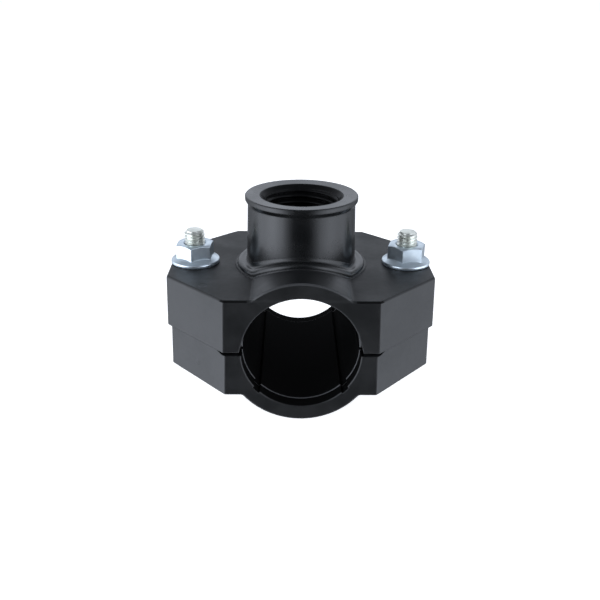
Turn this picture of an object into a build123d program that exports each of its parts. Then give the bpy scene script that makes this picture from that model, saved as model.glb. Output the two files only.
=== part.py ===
from build123d import *
from math import radians, sqrt, tan
import os

# A tapping saddle: two bolted plastic halves that grip a pipe along Y and seal a threaded
# outlet, which points up along Z, to its wall. The bolts stand on the X axis at either side.
# Origin at the centre of the pipe. Millimetres.

# Pipe bore
pipe_diameter = 32.0
grip_clearance = 0.05
land_height = 0.2
mouth_length = 4.0
mouth_chamfer = 0.25
relief_radius = 17.2
relief_drop = 3.0
body_length = 57.7
ring_wall = 4.42

# Parting line between the halves
upper_lip_height = 0.2
lip_gap = 0.8
seat_gap = 0.05
lip_half_width = 21.5
lip_ramp = 1.6

# Wings
wing_top = 15.65
wing_bottom = 12.9
front_half_width = 21.3
side_half_width = 38.55
side_half_length = 11.5
front_step = 0.5
side_step = 1.0
side_length_step = 0.7
wing_draft = 1.75
corner_radius = 0.8
edge_chamfer = 0.45
parting_chamfer = 0.3
crown_root_radius = 1.2

# Outlet boss
outlet_height = 36.5
boss_radius = 15.45
boss_draft = 1.6
lip_overhang = 0.75
lip_thickness = 1.3
lip_slope = 1.3
rim_chamfer = 0.25
rim_dish = 0.3
thread_major_diameter = 20.955
thread_depth = 15.0
outlet_mouth_diameter = 23.4
outlet_mouth_depth = 1.2
passage_diameter = 15.0
passage_flare = 1.0

# Collar round the foot of the boss
collar_radius = 18.7
collar_height = 1.0
collar_chamfer = 0.45
plinth_radius = 19.3
plinth_height = 0.3

# Gasket and its seat in the bore
gasket_inner_diameter = 18.0
gasket_width = 4.0
gasket_thickness = 2.4
gasket_clearance = 0.05

# Bolts and flange nuts
bolt_edge_distance = 7.4
thread_diameter = 6.0
thread_clearance = 0.05
bolt_length = 35.0
bolt_hole_diameter = 6.6
hex_width = 10.0
bolt_head_height = 4.0
bolt_end_chamfer = 0.7
hex_chamfer = 0.45
head_pocket_clearance = 0.15
nut_height = 6.0
nut_stand = 3.9
flange_diameter = 14.2
flange_rim = 1.1
flange_top_diameter = 10.4
flange_rise = 1.0
left_nut_turn = 25.0
right_nut_turn = 11.5

# Cores that lighten the wings, open at the parting face above and at the underside below
core_wall = 3.0
core_roof = 3.2
core_rib = 2.0
bolt_boss_radius = 7.6

# Grip grooves along the lower half
groove_angle = 48.0
groove_width = 2.4
groove_depth = 0.8

# Sizes that follow
grip_radius = pipe_diameter / 2 + grip_clearance
mouth_radius = grip_radius + land_height
ring_radius = mouth_radius + ring_wall
half_length = body_length / 2
lower_lip_height = upper_lip_height - lip_gap
lower_seat_height = upper_lip_height - seat_gap
bolt_x = side_half_width - bolt_edge_distance
bolt_places = {"left": -bolt_x, "right": bolt_x}
nut_turns = {"left": left_nut_turn, "right": right_nut_turn}
lip_base = outlet_height - lip_thickness
thread_end = outlet_height - thread_depth
bolt_radius = thread_diameter / 2 - thread_clearance
nut_bore_radius = thread_diameter / 2
bolt_tip = wing_top + nut_height + nut_stand
bolt_seat = bolt_tip - bolt_length
head_pocket_radius = hex_width / 2 + head_pocket_clearance
thread_radius = thread_major_diameter / 2
passage_radius = passage_diameter / 2
gasket_inner_radius = gasket_inner_diameter / 2
gasket_outer_radius = gasket_inner_radius + gasket_width
head_pocket_depth = wing_bottom + bolt_seat


def draft_shift(height, angle=wing_draft):
    """How far a drafted wall leans over the given height."""
    return height * tan(radians(angle))


def octagon(front, side, side_length):
    """Adds the plan of the wings, by its half widths and half length, to the open sketch."""
    quarter = [(front, half_length), (side, side_length)]
    right = quarter + [(x, -y) for x, y in reversed(quarter)]
    left = [(-x, y) for x, y in reversed(right)]
    Polygon(*right, *left, align=None)


def wing_block(plan, bottom, top):
    """Wings of one half: the plan at the bottom narrows upward by the draft."""
    front, side, side_length = plan
    height = top - bottom
    shift = draft_shift(height)
    with BuildPart() as block:
        with BuildSketch(Plane.XY.offset(bottom)):
            octagon(front, side, side_length)
        with BuildSketch(Plane.XY.offset(top)):
            octagon(front - shift, side - shift, side_length)
        loft(ruled=True)
        upright = block.edges().filter_by(
            lambda edge: abs(edge.position_at(0).Z - edge.position_at(1).Z) > height / 2
        )
        fillet(upright, corner_radius)
    return block.part


def saddle_pad(radius, height):
    """A round pad that follows the crown and the wing tops at a constant height."""
    root_x = sqrt((ring_radius + height) ** 2 - (wing_top + height) ** 2)
    with BuildPart() as pad:
        with BuildSketch(Plane.XZ.offset(-radius)) as section:
            Circle(ring_radius + height)
            Rectangle(2 * radius + 2, wing_top + height, align=(Align.CENTER, Align.MIN))
            Rectangle(2 * body_length, body_length, align=(Align.CENTER, Align.MAX), mode=Mode.SUBTRACT)
            roots = section.vertices().filter_by(lambda corner: abs(abs(corner.X) - root_x) < 0.01)
            fillet(roots, crown_root_radius)
        extrude(amount=2 * radius)
        with Locations((0, 0, upper_lip_height)):
            Cylinder(
                radius,
                outlet_height,
                align=(Align.CENTER, Align.CENTER, Align.MIN),
                mode=Mode.INTERSECT,
            )
    return pad.part


def mouth_room():
    """The wider mouth of the bore at its far end, with a sloping step and a chamfered edge."""
    with BuildPart() as room:
        with BuildSketch(Plane.XY):
            with BuildLine():
                Polyline(
                    (0, half_length - mouth_length - land_height),
                    (grip_radius, half_length - mouth_length - land_height),
                    (mouth_radius, half_length - mouth_length),
                    (mouth_radius, half_length - mouth_chamfer),
                    (mouth_radius + mouth_chamfer, half_length),
                    (0, half_length),
                    close=True,
                )
            make_face()
        revolve(axis=Axis.Y)
    return room.part


def seal_ring(clearance, face_radius):
    """A ring round the outlet that follows the pipe, grown on every side by the clearance."""
    with BuildPart() as ring:
        with BuildSketch():
            Circle(gasket_outer_radius + clearance)
            Circle(gasket_inner_radius - clearance, mode=Mode.SUBTRACT)
        extrude(amount=ring_radius)
        Cylinder(
            grip_radius + gasket_thickness + clearance,
            body_length,
            rotation=(90, 0, 0),
            mode=Mode.INTERSECT,
        )
        Cylinder(face_radius, body_length, rotation=(90, 0, 0), mode=Mode.SUBTRACT)
    return ring.part


def hexagon_bar(height):
    """A hexagonal bar on the XY plane whose upper corners are turned off to a cone."""
    corner = hex_width / sqrt(3)
    with BuildPart() as bar:
        with BuildSketch():
            RegularPolygon(hex_width / 2, 6, major_radius=False)
        extrude(amount=height)
        with BuildSketch(Plane.XZ):
            with BuildLine():
                Polyline(
                    (0, 0),
                    (corner, 0),
                    (corner, height - hex_chamfer),
                    (corner - 2 * hex_chamfer, height),
                    (0, height),
                    close=True,
                )
            make_face()
        revolve(axis=Axis.Z, mode=Mode.INTERSECT)
    return bar.part


def wing_cores(plan, bottom, top):
    """Pockets beside the bolt bosses, walled and ribbed, that rise from the bottom plane."""
    with BuildPart() as cores:
        with BuildSketch(Plane.XY.offset(bottom)):
            octagon(*plan)
            offset(amount=-core_wall, kind=Kind.INTERSECTION)
            Rectangle(2 * (ring_radius + core_rib), body_length, mode=Mode.SUBTRACT)
            with Locations((-bolt_x, 0), (bolt_x, 0)):
                Rectangle(core_rib, body_length, mode=Mode.SUBTRACT)
                Rectangle(3 * bolt_boss_radius, 2 * bolt_boss_radius, mode=Mode.SUBTRACT)
        extrude(amount=top - bottom, taper=wing_draft)
    return cores.part


def bolt(name, x):
    """A hexagon bolt whose head sits in the pocket under the lower half."""
    with BuildPart() as piece:
        with Locations((x, 0, bolt_seat)):
            add(hexagon_bar(bolt_head_height), rotation=(180, 0, 30))
            Cylinder(
                bolt_radius,
                bolt_length,
                align=(Align.CENTER, Align.CENTER, Align.MIN),
            )
        chamfer(piece.edges().group_by(Axis.Z)[-1], bolt_end_chamfer)
    piece.part.label = name
    return piece.part


def flange_nut(name, x, turn):
    """A hexagon nut with a conical flange, standing on a wing top."""
    with BuildPart() as piece:
        with Locations((x, 0, wing_top)):
            add(hexagon_bar(nut_height), rotation=(0, 0, turn))
        with BuildSketch(Plane.XZ):
            with BuildLine():
                Polyline(
                    (x, wing_top),
                    (x + flange_diameter / 2, wing_top),
                    (x + flange_diameter / 2, wing_top + flange_rim),
                    (x + flange_top_diameter / 2, wing_top + flange_rim + flange_rise),
                    (x, wing_top + flange_rim + flange_rise),
                    close=True,
                )
            make_face()
        revolve(axis=Axis((x, 0, 0), (0, 0, 1)))
        with Locations((x, 0, wing_top + nut_height)):
            CounterSinkHole(nut_bore_radius, nut_bore_radius + bolt_end_chamfer / 2, nut_height)
    piece.part.label = name
    return piece.part


def finish_deck(half, deck_height):
    """Rounds the roots of the crown and breaks the outer edges of the faces at a height."""
    crown_roots = half.edges().filter_by(
        lambda edge: abs(edge.center().Z - deck_height) < 0.01
        and abs(edge.center().X) < ring_radius
        and edge.length > body_length - 1
    )
    fillet(crown_roots, crown_root_radius)
    deck = half.faces().filter_by(Axis.Z).filter_by(
        lambda face: abs(face.center().Z - deck_height) < 0.01
    )
    outline = deck.edges().filter_by(
        lambda edge: abs(edge.center().X) > ring_radius
        or abs(abs(edge.center().Y) - half_length) < 0.01
    )
    chamfer(outline, edge_chamfer)


upper_plan = (front_half_width, side_half_width, side_half_length)
lower_plan = (
    front_half_width - front_step + draft_shift(wing_bottom + lower_seat_height),
    side_half_width - side_step + draft_shift(wing_bottom + lower_seat_height),
    side_half_length - side_length_step,
)
upper_wings = wing_block(upper_plan, upper_lip_height, wing_top)
lower_wings = wing_block(lower_plan, -wing_bottom, lower_seat_height)
plinth = saddle_pad(plinth_radius, plinth_height)
with BuildPart() as collar:
    add(saddle_pad(collar_radius, collar_height))
    collar_rim = collar.edges().filter_by(
        lambda edge: edge.center().Z > wing_top
        and abs(Vector(edge.position_at(0.3).X, edge.position_at(0.3).Y).length - collar_radius) < 0.01
    )
    chamfer(collar_rim, collar_chamfer)
far_mouth = mouth_room()
near_mouth = far_mouth.mirror(Plane.XZ)

# Upper half: saddle, wings, collar and threaded outlet in one moulding
with BuildPart() as upper_half:
    add(upper_wings)
    Cylinder(ring_radius, body_length, rotation=(90, 0, 0))
    split(bisect_by=Plane.XY.offset(upper_lip_height), keep=Keep.TOP)
    finish_deck(upper_half, wing_top)
    parting_edges = upper_half.faces().sort_by(Axis.Z)[0].edges()
    chamfer(parting_edges.filter_by(lambda edge: abs(edge.center().X) > ring_radius), parting_chamfer)
    add(plinth)
    add(collar.part)
    # Outlet boss with its overhanging lip
    with BuildSketch(Plane.XZ):
        with BuildLine():
            Polyline(
                (0, 0),
                (boss_radius + draft_shift(lip_base - lip_slope, boss_draft), 0),
                (boss_radius, lip_base - lip_slope),
                (boss_radius + lip_overhang, lip_base),
                (boss_radius + lip_overhang, outlet_height - rim_chamfer),
                (boss_radius + lip_overhang - rim_chamfer, outlet_height),
                (outlet_mouth_diameter / 2, outlet_height - rim_dish),
                (0, outlet_height - rim_dish),
                close=True,
            )
        make_face()
    revolve(axis=Axis.Z)
    # Room for the pipe
    Cylinder(grip_radius, body_length, rotation=(90, 0, 0), mode=Mode.SUBTRACT)
    add([near_mouth, far_mouth], mode=Mode.SUBTRACT)
    # Relief that widens each mouth where it meets the lower half
    with Locations((0, half_length, -relief_drop), (0, -half_length, -relief_drop)):
        Cylinder(relief_radius, 2 * mouth_length, rotation=(90, 0, 0), mode=Mode.SUBTRACT)
    # Threaded outlet, its flared mouth and the passage into the pipe
    with BuildSketch(Plane.XZ):
        with BuildLine():
            Polyline(
                (0, 0),
                (passage_radius, 0),
                (passage_radius, thread_end - passage_flare),
                (passage_radius + passage_flare, thread_end),
                (thread_radius, thread_end),
                (thread_radius, outlet_height - rim_dish - outlet_mouth_depth),
                (outlet_mouth_diameter / 2, outlet_height - rim_dish),
                (outlet_mouth_diameter / 2, outlet_height),
                (0, outlet_height),
                close=True,
            )
        make_face()
    revolve(axis=Axis.Z, mode=Mode.SUBTRACT)
    add(seal_ring(gasket_clearance, 0.5 * grip_radius), mode=Mode.SUBTRACT)
    with Locations((-bolt_x, 0, wing_top), (bolt_x, 0, wing_top)):
        Hole(bolt_hole_diameter / 2, wing_top)
    add(wing_cores(upper_plan, upper_lip_height, wing_top - core_roof), mode=Mode.SUBTRACT)

# Lower half: strap with grip grooves, lip relief and pockets for the bolt heads
with BuildPart() as lower_half:
    add(lower_wings)
    Cylinder(ring_radius, body_length, rotation=(90, 0, 0))
    split(bisect_by=Plane.XY.offset(lower_seat_height), keep=Keep.BOTTOM)
    finish_deck(lower_half, -wing_bottom)
    # The lips stay apart beside the pipe and the wings meet further out
    with BuildSketch(Plane.XZ):
        with BuildLine():
            Polyline(
                (-lip_half_width - lip_ramp, lower_seat_height),
                (-lip_half_width, lower_lip_height),
                (lip_half_width, lower_lip_height),
                (lip_half_width + lip_ramp, lower_seat_height),
                close=True,
            )
        make_face()
    extrude(amount=half_length, both=True, mode=Mode.SUBTRACT)
    Cylinder(grip_radius, body_length, rotation=(90, 0, 0), mode=Mode.SUBTRACT)
    add([near_mouth, far_mouth], mode=Mode.SUBTRACT)
    # Grip grooves
    for side in (-1, 1):
        with BuildSketch(Plane.XZ.offset(-half_length)):
            with Locations(Rotation(0, 0, -90 + side * groove_angle)):
                with Locations((grip_radius, 0)):
                    Rectangle(2 * groove_depth, groove_width)
        extrude(amount=body_length, mode=Mode.SUBTRACT)
    with Locations((-bolt_x, 0, lower_seat_height), (bolt_x, 0, lower_seat_height)):
        Hole(bolt_hole_diameter / 2, wing_bottom + lower_seat_height)
    with BuildSketch(Plane.XY.offset(-wing_bottom)):
        with Locations((-bolt_x, 0), (bolt_x, 0)):
            RegularPolygon(head_pocket_radius, 6, major_radius=False, rotation=30)
    extrude(amount=head_pocket_depth, mode=Mode.SUBTRACT)
    add(wing_cores(lower_plan, -wing_bottom, lower_lip_height - core_roof), mode=Mode.SUBTRACT)

upper_half.part.label = "upper_half"
lower_half.part.label = "lower_half"
gasket = seal_ring(0, grip_radius)
gasket.label = "gasket"
pieces = [upper_half.part, lower_half.part, gasket]
for side, x in bolt_places.items():
    pieces.append(bolt("bolt_" + side, x))
    pieces.append(flange_nut("nut_" + side, x, nut_turns[side]))

os.makedirs("parts", exist_ok=True)
for piece in pieces:
    export_step(piece, "parts/" + piece.label + ".step")
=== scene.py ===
"""A tapping saddle over a pale studio floor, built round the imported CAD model."""

from math import cos, floor, pi, radians, sin, sqrt, tau

import bmesh
import bpy
from mathutils import Matrix, Vector


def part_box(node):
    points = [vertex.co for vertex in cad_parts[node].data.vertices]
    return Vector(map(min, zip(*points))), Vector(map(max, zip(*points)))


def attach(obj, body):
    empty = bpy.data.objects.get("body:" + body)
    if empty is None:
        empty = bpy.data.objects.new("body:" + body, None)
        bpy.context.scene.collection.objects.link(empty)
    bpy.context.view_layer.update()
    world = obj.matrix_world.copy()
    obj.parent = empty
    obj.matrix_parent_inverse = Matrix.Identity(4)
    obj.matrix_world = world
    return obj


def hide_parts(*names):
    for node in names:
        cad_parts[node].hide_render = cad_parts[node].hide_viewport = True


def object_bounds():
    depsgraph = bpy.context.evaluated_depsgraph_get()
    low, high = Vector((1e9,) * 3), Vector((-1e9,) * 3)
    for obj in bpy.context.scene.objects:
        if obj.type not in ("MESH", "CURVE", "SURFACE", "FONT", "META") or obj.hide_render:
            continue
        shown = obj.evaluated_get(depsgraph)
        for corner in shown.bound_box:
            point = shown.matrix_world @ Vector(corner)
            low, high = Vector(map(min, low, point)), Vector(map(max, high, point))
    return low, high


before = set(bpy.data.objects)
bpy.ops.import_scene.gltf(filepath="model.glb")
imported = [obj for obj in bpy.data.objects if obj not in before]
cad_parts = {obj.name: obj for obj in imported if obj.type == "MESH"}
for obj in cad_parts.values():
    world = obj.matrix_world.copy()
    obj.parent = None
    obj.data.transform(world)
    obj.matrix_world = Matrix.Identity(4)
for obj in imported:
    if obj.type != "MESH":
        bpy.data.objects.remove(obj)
cad_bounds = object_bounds()

# The sizes of pieces are in millimetres, and those of materials and the floor in metres
MM = 0.001

# Camera: where it stands in millimetres, which way it looks in degrees, and its lens
CAMERA_PLACE = (-2.992, -200.91, 92.89)
CAMERA_YAW = 0.825
CAMERA_PITCH = 24.04
CAMERA_ROLL = 0.731
CAMERA_LENS = 43.381
CAMERA_NEAR = 0.01

# Turned pieces: points round a row, then metres and degrees for merging points and sharp edges
STEPS = 96
MERGE_REACH = 0.000004
SLIVER_REACH = 0.000002
SHARP_ANGLE = 28

# M6 thread: pitch, outer and root radius, and the phases of the pitch where its profile bends
BOLT_PITCH = 1.0
BOLT_MAJOR = 2.95
BOLT_MINOR = 2.37
FLANK_DOWN, ROOT, FLANK_UP = 0.125, 0.4375, 0.6875
BOLT_PHASES = (0.0, FLANK_DOWN, ROOT, FLANK_UP)

# Hexagons 10 mm across flats: radius to a flat and a corner, and the cone that turns the corners off
HEX_FLAT = 5.0
HEX_CORNER = HEX_FLAT / cos(radians(30))
HEX_CHAMFER = 0.45
HEX_CONE_STEPS = 6

# Bolt: lengths from its tip, and rows of radius and height over the head's face and on its underside
BOLT_LENGTH = 35.0
THREAD_LENGTH = 18.0
THREAD_RUN_OUT = 0.5
TIP_INSET = 0.15
HEAD_FACE = ((0.0, 0.25), (3.2, 0.25), (3.5, 0.0))
SHANK_ROOT = ((3.25, 0.0), (3.05, 0.06), (BOLT_MAJOR, 0.3))

# Nut: how far each hexagon is turned in degrees, the thread's gap round the bolt's, and its mouths
NUT_TURNS = {"left": -5.0, "right": -18.5}
THREAD_GAP = 0.07
NUT_MOUTH = 3.4

# Flange: rows of inset from the rim and height, then a cone with the root of the hexagon on it
FLANGE_RIM = (
    (0.4, 0.0),
    (0.2, 0.04),
    (0.05, 0.18),
    (0.0, 0.4),
    (0.0, 0.72),
    (0.07, 0.95),
    (0.2, 1.1),
    (0.35, 1.15),
)
CONE_SLOPE = 0.56
CONE_MIDDLE = 6.2
ROOT_OUT = 0.12
ROOT_UP = 0.08

# Outlet: half inch female pipe thread, on a sleeve whose back is inside the boss
PIPE_PITCH = 1.814
PIPE_MAJOR = 10.45
PIPE_MINOR = 9.32
PIPE_BACKING = 10.6
PIPE_TOP = 34.99
PIPE_BOTTOM = 21.6
PIPE_PHASES = 10
PIPE_FULLNESS = 0.56
PIPE_RUN_OUT = 0.9

# Collar: the rolled foot of the boss, as radius and height over the crown and the wing tops
WING_TOP = 15.65
CROWN_RADIUS = 20.67
ROOT_BLEND = 0.35
COLLAR = (
    (15.4, -0.3),
    (18.6, -0.3),
    (18.74, 0.1),
    (18.76, 0.55),
    (18.68, 0.85),
    (18.5, 1.1),
    (18.22, 1.28),
    (17.85, 1.37),
    (17.4, 1.36),
    (16.95, 1.27),
    (16.55, 1.22),
    (16.25, 1.3),
    (16.05, 1.5),
    (15.93, 1.85),
    (15.87, 2.3),
    (15.4, 2.5),
    (15.4, -0.3),
)

# Zones of the plastic, in metres. Each is the product of soft steps: a measure, the value at which
# the step is still 0, and the value at which it is 1
ZONES = {
    "boss": (("from_outlet", 0.0194, 0.0189), ("height", 0.0158, 0.0161)),
    "deck": (("height", 0.0152, 0.0155), ("height", 0.0162, 0.0158)),
    "bore": (("from_pipe", 0.0172, 0.0169), ("along", 0.02868, 0.0286)),
    "ledge": (("along", 0.0246, 0.02464), ("along", 0.02495, 0.0249)),
    "ledge_edge": (("from_pipe", 0.0165, 0.0164),),
    "mouth": (("from_outlet", 0.0121, 0.012), ("height", 0.017, 0.0175)),
    "wing_edge": (
        ("height", 0.01512, 0.0152),
        ("height", 0.01564, 0.0156),
        ("along", 0.0277, 0.0281),
        ("aside", 0.0142, 0.0146),
    ),
    "crown_edge": (
        ("from_pipe", 0.02012, 0.02022),
        ("along", 0.02832, 0.0284),
        ("height", 0.0157, 0.0162),
    ),
}
# Shares of painted shade on the outlet's mouth and along the wing tops' edges
MOUTH_PAINTED_SHADE = 0.75
WING_EDGE_PAINTED_SHADE = 0.8
# Share of the painted highlight on the crown's front edge
CROWN_EDGE_HIGHLIGHT = 0.5

# Finish of the plastic, off the boss and on it: roughness, rounding of edges in metres, and grain
WING_ROUGH, BOSS_ROUGH = 0.42, 0.25
WING_ROUNDING, BOSS_ROUNDING = 0.0004, 0.0007
WING_GRAIN, BOSS_GRAIN = 1.0, 0.35
DECK_ROUGHER = 0.1
FLOW_HEIGHT = 1.6

# Two marks pressed into the plastic: centre and radius in metres, and their depth beside the grain's
MARKS = (((-0.0271, -0.01835, 0.01565), 0.0014), ((-0.02916, -0.02017, -0.00726), 0.0009))
MARK_FLOOR = 0.7
MARK_DEPTH = 9.0

# Light that the glossy surfaces see, by the angle from the camera's side, 0, to the far side, 1
SURROUND = (
    (0.0, 0.0),
    (0.1, 0.02),
    (0.17, 0.85),
    (0.23, 2.2),
    (0.34, 3.0),
    (0.5, 2.0),
    (0.66, 0.75),
    (0.8, 0.22),
    (0.9, 0.3),
    (1.0, 0.35),
)
LEFT_SHARE, RIGHT_SHARE = 1.2, 0.86
BACKDROP = 0.75
OVERHEAD = 0.22
SEEN_WHITE = 1.1

# The floor leaves room under the clamp for the strap as it comes down
FLOOR_DROP = 0.0083
FLOOR_SIZE = 6.0


class Nodes:
    """A short way to build a node tree: each input is a value or another node's socket."""

    def __init__(self, tree):
        self.tree = tree

    def feed(self, node, key, value):
        """Sets a node's input to a value, or links a socket to it."""
        if isinstance(value, bpy.types.NodeSocket):
            self.tree.links.new(value, node.inputs[key])
        else:
            node.inputs[key].default_value = value

    def add(self, kind, output=0, inputs=None, **settings):
        """Adds a node and gives one of its outputs."""
        made = self.tree.nodes.new("ShaderNode" + kind)
        for name, value in settings.items():
            setattr(made, name, value)
        for key, value in (inputs or {}).items():
            self.feed(made, key, value)
        return made.outputs[output]

    def math(self, operation, first, second=0.0):
        return self.add("Math", inputs={0: first, 1: second}, operation=operation)

    def vector(self, operation, first, second=(0.0, 0.0, 0.0)):
        """A number worked out from vectors."""
        inputs = {0: first, 1: second}
        return self.add("VectorMath", output="Value", inputs=inputs, operation=operation)

    def noise(self, place, scale, detail):
        inputs = {"Vector": place, "Scale": scale, "Detail": detail}
        return self.add("TexNoise", output="Fac", inputs=inputs)

    def axes(self, place):
        """The X, Y and Z of a vector."""
        return [self.add("SeparateXYZ", output=axis, inputs={0: place}) for axis in "XYZ"]

    def ramp(self, factor, stops, interpolation="LINEAR"):
        """A colour ramp through stops, each a place and a colour or a grey."""
        made = self.tree.nodes.new("ShaderNodeValToRGB")
        made.color_ramp.interpolation = interpolation
        elements = made.color_ramp.elements
        while len(elements) < len(stops):
            elements.new(0.5)
        for element, (place, color) in zip(elements, stops):
            element.position = place
            element.color = (*color, 1.0) if isinstance(color, tuple) else (color, color, color, 1.0)
        self.feed(made, "Fac", factor)
        return made.outputs["Color"]

    def between(self, value, low, high, out_low=0.0, out_high=1.0):
        """A smooth step of the value between low and high."""
        inputs = {"Value": value, "From Min": low, "From Max": high, "To Min": out_low, "To Max": out_high}
        return self.add("MapRange", inputs=inputs, interpolation_type="SMOOTHSTEP")


def new_material(name):
    """A material with its node helper and its Principled BSDF."""
    material = bpy.data.materials.new(name)
    material.use_nodes = True
    tree = material.node_tree
    return material, Nodes(tree), tree.nodes["Principled BSDF"]


def rounded_bump(nodes, shader, radius, height, distance, strength):
    """Edges that look rounded, under a fine bump."""
    normal = nodes.add("Bevel", inputs={"Radius": radius}, samples=6)
    inputs = {"Strength": strength, "Distance": distance, "Height": height, "Normal": normal}
    nodes.feed(shader, "Normal", nodes.add("Bump", inputs=inputs))


def plastic_zones(nodes, place):
    """The mask of each of the plastic's zones, 0 outside it and 1 inside."""
    x, y, z = nodes.axes(place)
    measures = {
        "aside": nodes.math("ABSOLUTE", x),
        "along": nodes.math("ABSOLUTE", y),
        "height": z,
        "from_outlet": nodes.vector("LENGTH", nodes.add("CombineXYZ", inputs={"X": x, "Y": y})),
        "from_pipe": nodes.vector("LENGTH", nodes.add("CombineXYZ", inputs={"X": x, "Z": z})),
    }
    masks = {}
    for name, soft_steps in ZONES.items():
        mask = 1.0
        for measure, nothing, full in soft_steps:
            mask = nodes.math("MULTIPLY", mask, nodes.between(measures[measure], nothing, full))
        masks[name] = mask
    return masks


def make_plastic():
    """Black polypropylene: satin on the flanks, glossier on the boss, dull in the bore; painted shade in
    the bore, the outlet's mouth and along the wing edges, and painted highlights on the ledge and crown
    edges.
    """
    material, nodes, shader = new_material("black_plastic")
    place = nodes.add("TexCoord", output="Object")
    zone = plastic_zones(nodes, place)
    clouds = nodes.noise(place, scale=90.0, detail=3.0)
    grain = nodes.noise(place, scale=5200.0, detail=2.0)
    flow = nodes.noise(place, scale=700.0, detail=2.0)

    rough = nodes.between(zone["boss"], 0.0, 1.0, WING_ROUGH, BOSS_ROUGH)
    rough = nodes.math("ADD", rough, nodes.math("MULTIPLY", zone["deck"], DECK_ROUGHER))
    rough = nodes.math("ADD", rough, nodes.between(clouds, 0.35, 0.65, -0.04, 0.04))
    rough = nodes.math("ADD", rough, nodes.between(flow, 0.3, 0.7, -0.012, 0.012))
    nodes.feed(shader, "Roughness", rough)

    tint = nodes.ramp(clouds, ((0.35, (0.0050, 0.0055, 0.0060)), (0.65, (0.0075, 0.0080, 0.0085))))
    # Painted highlights: a pale grey mixed into the base colour on the ledge's edge in the bore and on the
    # crown's front edge, standing in for light caught on their rounded edges
    ledge_highlight = nodes.math("MULTIPLY", zone["ledge"], zone["ledge_edge"])
    crown_edge_highlight = nodes.math("MULTIPLY", zone["crown_edge"], CROWN_EDGE_HIGHLIGHT)
    painted_highlight = nodes.math("MAXIMUM", ledge_highlight, crown_edge_highlight)
    mixed = {"Factor": painted_highlight, 6: tint, 7: (0.075, 0.077, 0.08, 1.0)}
    nodes.feed(shader, "Base Color", nodes.add("Mix", output=2, inputs=mixed, data_type="RGBA"))
    nodes.feed(shader, "IOR", 1.5)

    height = nodes.math("ADD", grain, nodes.math("MULTIPLY", flow, FLOW_HEIGHT))
    height = nodes.math("MULTIPLY", height, nodes.between(zone["boss"], 0.0, 1.0, WING_GRAIN, BOSS_GRAIN))
    for centre, radius in MARKS:
        away = nodes.vector("DISTANCE", place, centre)
        pressed = nodes.between(away, radius, radius * MARK_FLOOR, 0.0, MARK_DEPTH)
        height = nodes.math("SUBTRACT", height, pressed)
    rounding = nodes.between(zone["boss"], 0.0, 1.0, WING_ROUNDING, BOSS_ROUNDING)
    rounded_bump(nodes, shader, rounding, height, distance=0.000012, strength=0.55)

    # Painted shade: a dull, near-black layer mixed over the bore, the outlet's mouth and the wing tops'
    # edges, where shade falls
    dull = nodes.add("BsdfPrincipled", inputs={"Roughness": 0.75, "Specular IOR Level": 0.02})
    nodes.feed(dull.node, "Base Color", (0.003, 0.003, 0.003, 1.0))
    painted_shade = nodes.math("MULTIPLY", zone["bore"], nodes.math("SUBTRACT", 1.0, zone["ledge"]))
    for name, share in (("mouth", MOUTH_PAINTED_SHADE), ("wing_edge", WING_EDGE_PAINTED_SHADE)):
        painted_shade = nodes.math("MAXIMUM", painted_shade, nodes.math("MULTIPLY", zone[name], share))
    skin = nodes.add("MixShader", inputs={0: painted_shade, 1: shader.outputs[0], 2: dull})
    nodes.feed(nodes.tree.nodes["Material Output"], "Surface", skin)
    return material


def make_zinc(name, light, dark, rough):
    """Bright zinc plate: thin tint, fine scratches round the axis and a dull bloom in patches."""
    material, nodes, shader = new_material(name)
    place = nodes.add("TexCoord", output="Object")
    clouds = nodes.noise(place, scale=420.0, detail=4.0)
    grain = nodes.noise(place, scale=9000.0, detail=2.0)
    stretched = nodes.add("Mapping", inputs={"Vector": place, "Scale": (1.0, 1.0, 9.0)})
    scratches = nodes.noise(stretched, scale=1500.0, detail=2.0)
    nodes.feed(shader, "Base Color", nodes.ramp(clouds, ((0.3, dark), (0.7, light))))
    nodes.feed(shader, "Roughness", nodes.between(clouds, 0.3, 0.7, rough + 0.07, rough - 0.04))
    nodes.feed(shader, "Metallic", 0.88)
    bump = nodes.math("ADD", grain, scratches)
    rounded_bump(nodes, shader, 0.00018, bump, distance=0.00001, strength=0.35)
    return material


def make_rubber():
    """The gasket's rubber, dull and faintly mottled."""
    material, nodes, shader = new_material("seal_rubber")
    place = nodes.add("TexCoord", output="Object")
    grain = nodes.noise(place, scale=3000.0, detail=3.0)
    color = nodes.ramp(grain, ((0.3, (0.016, 0.016, 0.016)), (0.7, (0.026, 0.026, 0.027))))
    nodes.feed(shader, "Base Color", color)
    nodes.feed(shader, "Roughness", nodes.between(grain, 0.3, 0.7, 0.55, 0.7))
    rounded_bump(nodes, shader, 0.0002, grain, distance=0.00002, strength=0.5)
    return material


def hexagon(angle):
    """Radius of a hexagon at an angle from the middle of a flat."""
    return HEX_FLAT / cos((angle + pi / 6) % (pi / 3) - pi / 6)


def metric_radius(phase):
    """Radius of the M6 thread at a phase of the pitch."""
    phase %= 1.0
    if phase < FLANK_DOWN:
        share = 1.0
    elif phase < ROOT:
        share = (ROOT - phase) / (ROOT - FLANK_DOWN)
    elif phase < FLANK_UP:
        share = 0.0
    else:
        share = (phase - FLANK_UP) / (1.0 - FLANK_UP)
    return BOLT_MINOR + (BOLT_MAJOR - BOLT_MINOR) * share


def pipe_radius(phase):
    """Radius of the rounded pipe thread at a phase of the pitch."""
    share = min(1.0, max(0.0, 0.5 + PIPE_FULLNESS * cos(tau * phase)))
    return PIPE_MAJOR - (PIPE_MAJOR - PIPE_MINOR) * share


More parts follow.
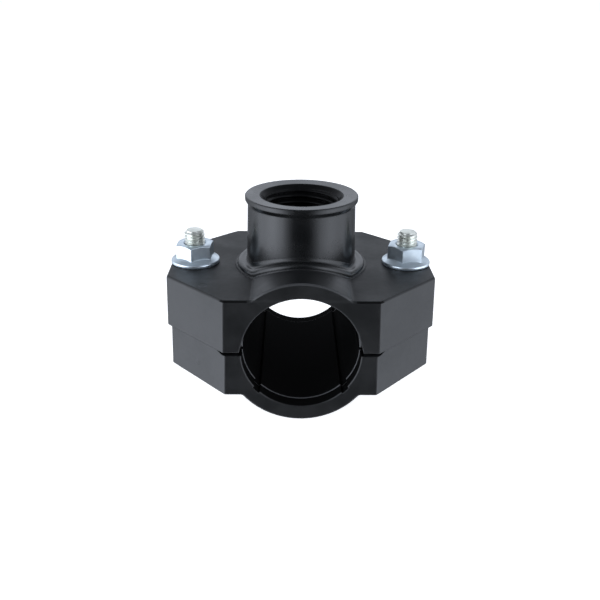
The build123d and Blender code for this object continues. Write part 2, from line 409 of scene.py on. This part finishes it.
def thread_rows(bottom, top, pitch, phases, radius_at, turn=0.0):
    """Rows of a helical surface, each a function of the angle, cut off level at both ends."""
    rows = []
    for winding in range(floor(bottom / pitch) - 2, floor(top / pitch) + 2):
        for phase in phases:

            def row(angle, lead=winding + phase):
                around = (angle + radians(turn)) / tau
                height = min(top, max(bottom, pitch * (lead + around)))
                return radius_at(height / pitch - around, height), height

            rows.append(row)
    return rows


def ring(radius, height):
    """A plain round row."""
    return lambda angle: (radius, height)


def hexagon_end(full, face):
    """Rows from the height where the hexagon is full to its face, as a cone turns its corners off."""
    rows = []
    for step in range(HEX_CONE_STEPS + 1):
        share = step / HEX_CONE_STEPS
        cone = HEX_CORNER - 2 * HEX_CHAMFER * share
        height = full + (face - full) * share
        rows.append(lambda angle, cone=cone, height=height: (min(hexagon(angle), cone), height))
    return rows


def turned(name, rows, centre, turn, material, body):
    """A closed piece whose skin runs through the rows, each a radius and height by angle."""
    mesh = bmesh.new()
    grid = []
    for row in rows:
        line = []
        for step in range(STEPS + 1):
            angle = tau * step / STEPS
            radius, height = row(angle)
            facing = angle + radians(turn)
            point = Vector((centre + radius * cos(facing), radius * sin(facing), height))
            line.append(mesh.verts.new(point * MM))
        grid.append(line)
    for lower, upper in zip(grid, grid[1:]):
        for step in range(STEPS):
            mesh.faces.new((lower[step], lower[step + 1], upper[step + 1], upper[step]))
    bmesh.ops.remove_doubles(mesh, verts=mesh.verts, dist=MERGE_REACH)
    bmesh.ops.dissolve_degenerate(mesh, edges=mesh.edges, dist=SLIVER_REACH)
    bmesh.ops.recalc_face_normals(mesh, faces=mesh.faces)
    data = bpy.data.meshes.new(name)
    mesh.to_mesh(data)
    mesh.free()
    data.shade_smooth()
    data.set_sharp_from_angle(angle=radians(SHARP_ANGLE))
    data.materials.append(material)
    piece = bpy.data.objects.new(name, data)
    bpy.context.scene.collection.objects.link(piece)
    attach(piece, body)
    return piece


def threaded_bolt(side, low, high):
    """A hexagon bolt with a rolled M6 thread, in place of the plain one."""
    under_head = high.z - BOLT_LENGTH
    thread_start = high.z - THREAD_LENGTH

    def surface(phase, height):
        return min(metric_radius(phase), BOLT_MINOR - TIP_INSET + high.z - height)

    rows = [ring(radius, low.z + lift) for radius, lift in HEAD_FACE]
    rows += reversed(hexagon_end(low.z + HEX_CHAMFER, low.z))
    rows.append(lambda angle: (hexagon(angle), under_head))
    rows += [ring(radius, under_head + lift) for radius, lift in SHANK_ROOT]
    rows += [ring(BOLT_MAJOR, thread_start - THREAD_RUN_OUT), ring(BOLT_MINOR, thread_start)]
    rows += thread_rows(thread_start, high.z, BOLT_PITCH, BOLT_PHASES, surface)
    rows.append(ring(0.0, high.z))
    centre = (low.x + high.x) / 2
    piece = turned("bolt_" + side + "_threaded", rows, centre, 0.0, bolt_zinc, "strap")
    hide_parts("bolt_" + side)


def detailed_nut(side, low, high):
    """A hexagon flange nut with a rolled flange, turned corners and its own thread."""
    rim = (high.x - low.x) / 2
    turn = NUT_TURNS[side]

    def surface(phase, height):
        radius = metric_radius(phase) + THREAD_GAP
        return max(radius, NUT_MOUTH - (high.z - height), NUT_MOUTH - (height - low.z))

    def cone_height(radius):
        inset, lift = FLANGE_RIM[-1]
        return low.z + lift + (rim - inset - radius) * CONE_SLOPE

    rows = [ring(NUT_MOUTH, low.z)]
    rows += [ring(rim - inset, low.z + lift) for inset, lift in FLANGE_RIM]
    rows.append(ring(CONE_MIDDLE, cone_height(CONE_MIDDLE)))
    rows.append(lambda angle: (hexagon(angle) + ROOT_OUT, cone_height(hexagon(angle) + ROOT_OUT)))
    rows.append(lambda angle: (hexagon(angle), cone_height(hexagon(angle)) + ROOT_UP))
    rows += hexagon_end(high.z - HEX_CHAMFER, high.z)
    rows.append(ring(NUT_MOUTH, high.z))
    # The thread keeps in step with the bolt's, so only the hexagon takes the nut's turn
    rows += reversed(thread_rows(low.z, high.z, BOLT_PITCH, BOLT_PHASES, surface, turn))
    centre = (low.x + high.x) / 2
    body = side + "_nut"
    piece = turned("nut_" + side + "_detailed", rows, centre, turn, nut_zinc, body)
    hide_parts("nut_" + side)


def pipe_thread():
    """The ridges of the female thread, a sleeve let into the wall of the outlet."""

    def surface(phase, height):
        lead_in = PIPE_MAJOR - (PIPE_TOP - height)
        run_out = PIPE_MAJOR - (height - PIPE_BOTTOM) * PIPE_RUN_OUT
        return max(pipe_radius(phase), lead_in, run_out)

    phases = [part / PIPE_PHASES for part in range(PIPE_PHASES)]
    rows = [ring(PIPE_BACKING, PIPE_BOTTOM), ring(PIPE_BACKING, PIPE_TOP)]
    rows += reversed(thread_rows(PIPE_BOTTOM, PIPE_TOP, PIPE_PITCH, phases, surface))
    rows.append(ring(PIPE_BACKING, PIPE_BOTTOM))
    turned("outlet_thread_ridges", rows, 0.0, 0.0, plastic, "saddle")


def collar_roll():
    """The rounded collar at the foot of the boss, riding up over the crown."""

    def row(radius, lift):
        def follow(angle):
            across = radius * cos(angle)
            crown = sqrt((CROWN_RADIUS + lift) ** 2 - across**2)
            deck = WING_TOP + lift
            apart = sqrt((crown - deck) ** 2 + ROOT_BLEND**2)
            return radius, (crown + deck + apart) / 2

        return follow

    rows = [row(radius, lift) for radius, lift in COLLAR]
    turned("boss_collar_roll", rows, 0.0, 0.0, plastic, "saddle")


def add_camera():
    """The camera, turned by yaw about Z, pitched down, then rolled about its own axis."""
    yaw, pitch, roll = radians(CAMERA_YAW), radians(CAMERA_PITCH), radians(CAMERA_ROLL)
    forward = Vector((sin(yaw) * cos(pitch), cos(yaw) * cos(pitch), -sin(pitch)))
    level = Vector((cos(yaw), -sin(yaw), 0.0))
    upright = level.cross(forward)
    right = level * cos(roll) + upright * sin(roll)
    up = upright * cos(roll) - level * sin(roll)
    data = bpy.data.cameras.new("camera")
    data.lens = CAMERA_LENS
    data.clip_start = CAMERA_NEAR
    camera = bpy.data.objects.new("camera", data)
    bpy.context.scene.collection.objects.link(camera)
    aim = Matrix((right, up, -forward)).transposed().to_4x4()
    camera.matrix_world = Matrix.Translation(Vector(CAMERA_PLACE) * MM) @ aim
    bpy.context.scene.camera = camera


def add_floor(height):
    """A pale floor that the gloss of the object doesn't pick up, and that hides nothing from below."""
    bpy.ops.mesh.primitive_plane_add(size=FLOOR_SIZE, location=(0.0, 0.0, height))
    ground = bpy.context.object
    ground.name = "floor"
    material, nodes, shader = new_material("pale_floor")
    mottle = nodes.noise(nodes.add("TexCoord", output="Object"), scale=3.0, detail=2.0)
    color = nodes.ramp(mottle, ((0.3, (0.93, 0.93, 0.93)), (0.7, (0.95, 0.95, 0.95))))
    nodes.feed(shader, "Base Color", color)
    nodes.feed(shader, "Roughness", 0.9)
    nodes.feed(shader, "Emission Color", (1.0, 1.0, 1.0, 1.0))
    nodes.feed(shader, "Emission Strength", 0.75)
    below = nodes.add("NewGeometry", output="Backfacing")
    clear = nodes.add("BsdfTransparent")
    skin = nodes.add("MixShader", inputs={0: below, 1: shader.outputs[0], 2: clear})
    nodes.feed(nodes.tree.nodes["Material Output"], "Surface", skin)
    ground.data.materials.append(material)
    ground.visible_glossy = False


def add_surround():
    """A white studio with two broad softboxes, left and right, and a dark side by the camera."""
    world = bpy.data.worlds.new("studio")
    world.use_nodes = True
    nodes = Nodes(world.node_tree)
    x, y, z = nodes.axes(nodes.add("TexCoord", output="Generated"))
    round_about = nodes.math("ARCTAN2", nodes.math("ABSOLUTE", x), nodes.math("MULTIPLY", y, -1.0))
    turn = nodes.math("DIVIDE", round_about, pi)
    peak = max(level for _, level in SURROUND)
    softboxes = nodes.ramp(turn, [(place, level / peak) for place, level in SURROUND], "EASE")
    sided = nodes.between(x, -0.9, 0.9, peak * LEFT_SHARE, peak * RIGHT_SHARE)
    rising = nodes.between(z, -0.1, 0.3, 0.0, BACKDROP)
    behind = nodes.math("MULTIPLY", nodes.between(turn, 0.6, 0.9), rising)
    level = nodes.math("ADD", nodes.math("MULTIPLY", softboxes, sided), behind)
    above = nodes.between(z, 0.42, 0.8)
    strength = nodes.add("Mix", output="Result", inputs={"Factor": above, "A": level, "B": OVERHEAD})
    seen = nodes.add("LightPath", output="Is Camera Ray")
    strength = nodes.add("Mix", output="Result", inputs={"Factor": seen, "A": strength, "B": SEEN_WHITE})
    background = world.node_tree.nodes["Background"]
    nodes.feed(background, "Color", (0.92, 0.98, 1.09, 1.0))
    nodes.feed(background, "Strength", strength)
    bpy.context.scene.world = world


add_camera()
plastic = make_plastic()
rubber = make_rubber()
nut_zinc = make_zinc("bright_zinc", light=(0.72, 0.81, 0.87), dark=(0.62, 0.71, 0.78), rough=0.33)
bolt_zinc = make_zinc("warm_zinc", light=(0.86, 0.88, 0.82), dark=(0.74, 0.76, 0.70), rough=0.37)
for node, material in (("upper_half", plastic), ("lower_half", plastic), ("gasket", rubber)):
    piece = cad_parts[node]
    piece.data.materials.clear()
    piece.data.materials.append(material)
for side in ("left", "right"):
    threaded_bolt(side, *(Vector(corner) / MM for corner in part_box("bolt_" + side)))
    detailed_nut(side, *(Vector(corner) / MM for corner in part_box("nut_" + side)))
pipe_thread()
collar_roll()
add_floor(cad_bounds[0][2] - FLOOR_DROP)
add_surround()
bpy.context.scene.view_settings.view_transform = "Standard"
